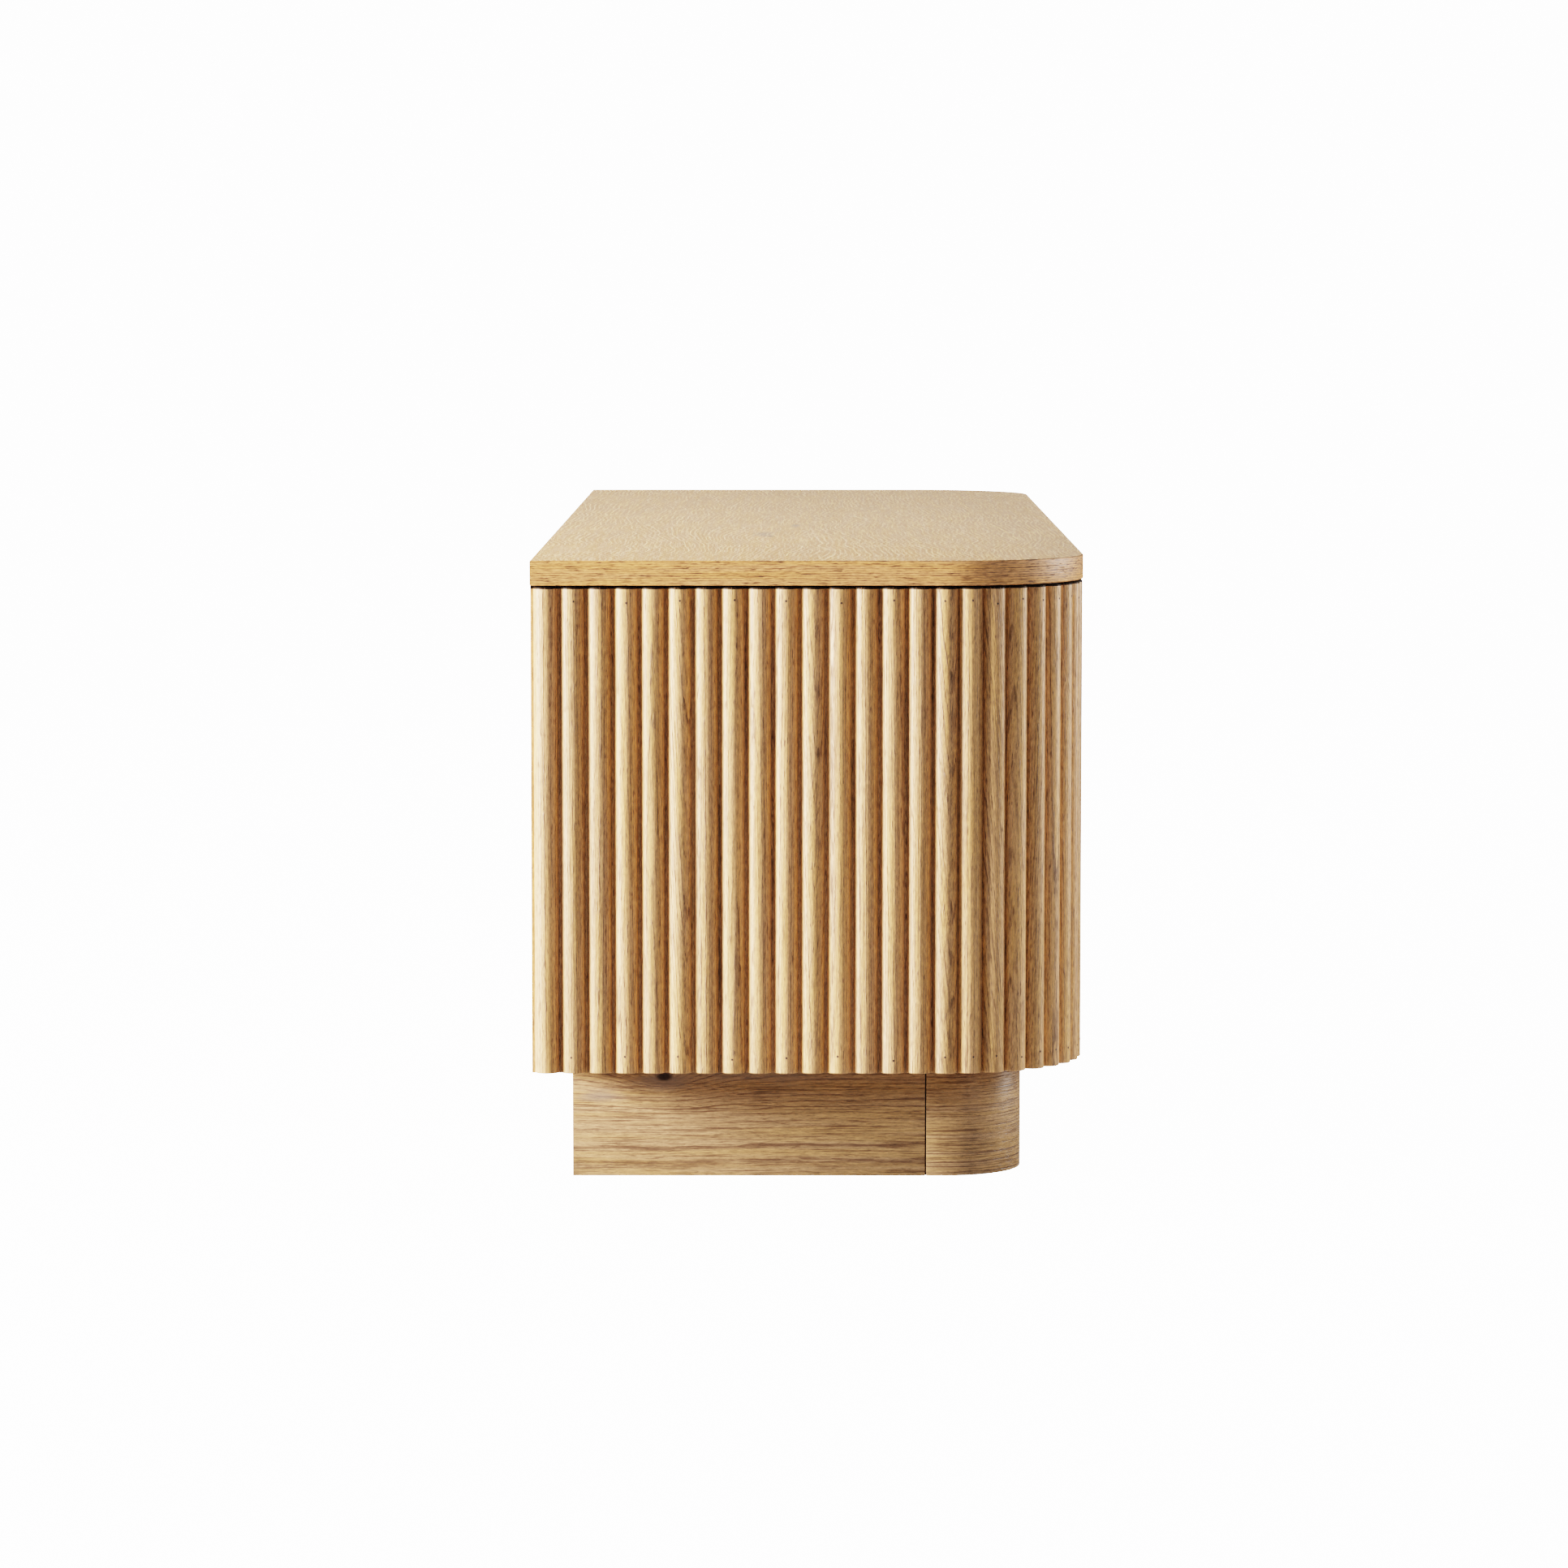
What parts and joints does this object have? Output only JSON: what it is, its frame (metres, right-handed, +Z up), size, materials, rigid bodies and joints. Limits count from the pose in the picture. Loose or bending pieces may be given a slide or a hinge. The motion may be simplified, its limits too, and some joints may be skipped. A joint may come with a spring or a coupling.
{
  "type": "media cabinet",
  "caption": "Low oak media cabinet with reeded ends and doors, round front corners, a flat top and a recessed plinth. The doors swing on butt hinges.",
  "frame": {"origin": "on the floor under the middle of the cabinet's box", "axes": "+X along the length, +Y from the doors to the back, +Z up"},
  "size_m": [1.4, 0.45, 0.508],
  "materials": {
    "top_oak": "pale natural oak, matt lacquer with a soft sheen",
    "reeded_oak": "natural oak slats, vertical grain, satin",
    "carcass_oak": "natural oak veneer, satin",
    "plinth_oak": "natural oak, horizontal grain, open pores, satin",
    "hinge_brass": "satin brass",
    "pin_steel": "zinc plated",
    "strike_steel": "zinc plated",
    "catch_plastic": "matt black",
    "grommet_plastic": "matt black"
  },
  "bodies": {
    "carcass": {"top_panel": "top_oak", "bottom_panel": "carcass_oak", "end_panel_left": "carcass_oak", "end_panel_right": "carcass_oak", "corner_panel_left": "carcass_oak", "corner_panel_right": "carcass_oak", "partition_left": "carcass_oak", "partition_right": "carcass_oak", "back_panel": "carcass_oak", "shelf_left": "carcass_oak", "shelf_center": "carcass_oak", "shelf_right": "carcass_oak", "end_reeding_left": "reeded_oak", "end_reeding_right": "reeded_oak", "corner_reeding_left": "reeded_oak", "corner_reeding_right": "reeded_oak", "partition_reed_left": "reeded_oak", "partition_reed_right": "reeded_oak", "plinth_front": "plinth_oak", "plinth_back": "plinth_oak", "plinth_end_left": "plinth_oak", "plinth_end_right": "plinth_oak", "plinth_corner_left": "plinth_oak", "plinth_corner_right": "plinth_oak", "plinth_rail_center": "plinth_oak", "cable_grommet_left": "grommet_plastic", "cable_grommet_center": "grommet_plastic", "cable_grommet_right": "grommet_plastic", "magnetic_catch_left": "catch_plastic", "magnetic_catch_center": "catch_plastic", "magnetic_catch_right": "catch_plastic", "shelf_pin_left_end_1": "pin_steel", "shelf_pin_left_end_2": "pin_steel", "shelf_pin_left_partition_1": "pin_steel", "shelf_pin_left_partition_2": "pin_steel", "shelf_pin_right_end_1": "pin_steel", "shelf_pin_right_end_2": "pin_steel", "shelf_pin_right_partition_1": "pin_steel", "shelf_pin_right_partition_2": "pin_steel", "hinge_left_1_fixed_leaf": "hinge_brass", "hinge_left_2_fixed_leaf": "hinge_brass", "hinge_center_1_fixed_leaf": "hinge_brass", "hinge_center_2_fixed_leaf": "hinge_brass", "hinge_right_1_fixed_leaf": "hinge_brass", "hinge_right_2_fixed_leaf": "hinge_brass"},
    "door_left": {"door_panel_left": "carcass_oak", "door_reeding_left": "reeded_oak", "hinge_left_1_door_leaf": "hinge_brass", "hinge_left_2_door_leaf": "hinge_brass", "strike_plate_left": "strike_steel"},
    "door_center": {"door_panel_center": "carcass_oak", "door_reeding_center": "reeded_oak", "hinge_center_1_door_leaf": "hinge_brass", "hinge_center_2_door_leaf": "hinge_brass", "strike_plate_center": "strike_steel"},
    "door_right": {"door_panel_right": "carcass_oak", "door_reeding_right": "reeded_oak", "hinge_right_1_door_leaf": "hinge_brass", "hinge_right_2_door_leaf": "hinge_brass", "strike_plate_right": "strike_steel"}
  },
  "joints": [
    {"name": "door_left_hinge", "type": "hinge", "parent": "carcass", "child": "door_left", "pos_m": [-0.58123, -0.22, 0.2897], "axis": [0, 0, -1], "range_deg": [0, 100]},
    {"name": "door_center_hinge", "type": "hinge", "parent": "carcass", "child": "door_center", "pos_m": [-0.19339, -0.22, 0.2897], "axis": [0, 0, -1], "range_deg": [0, 100]},
    {"name": "door_right_hinge", "type": "hinge", "parent": "carcass", "child": "door_right", "pos_m": [0.58123, -0.22, 0.2897], "axis": [0, 0, 1], "range_deg": [0, 100]}
  ]
}
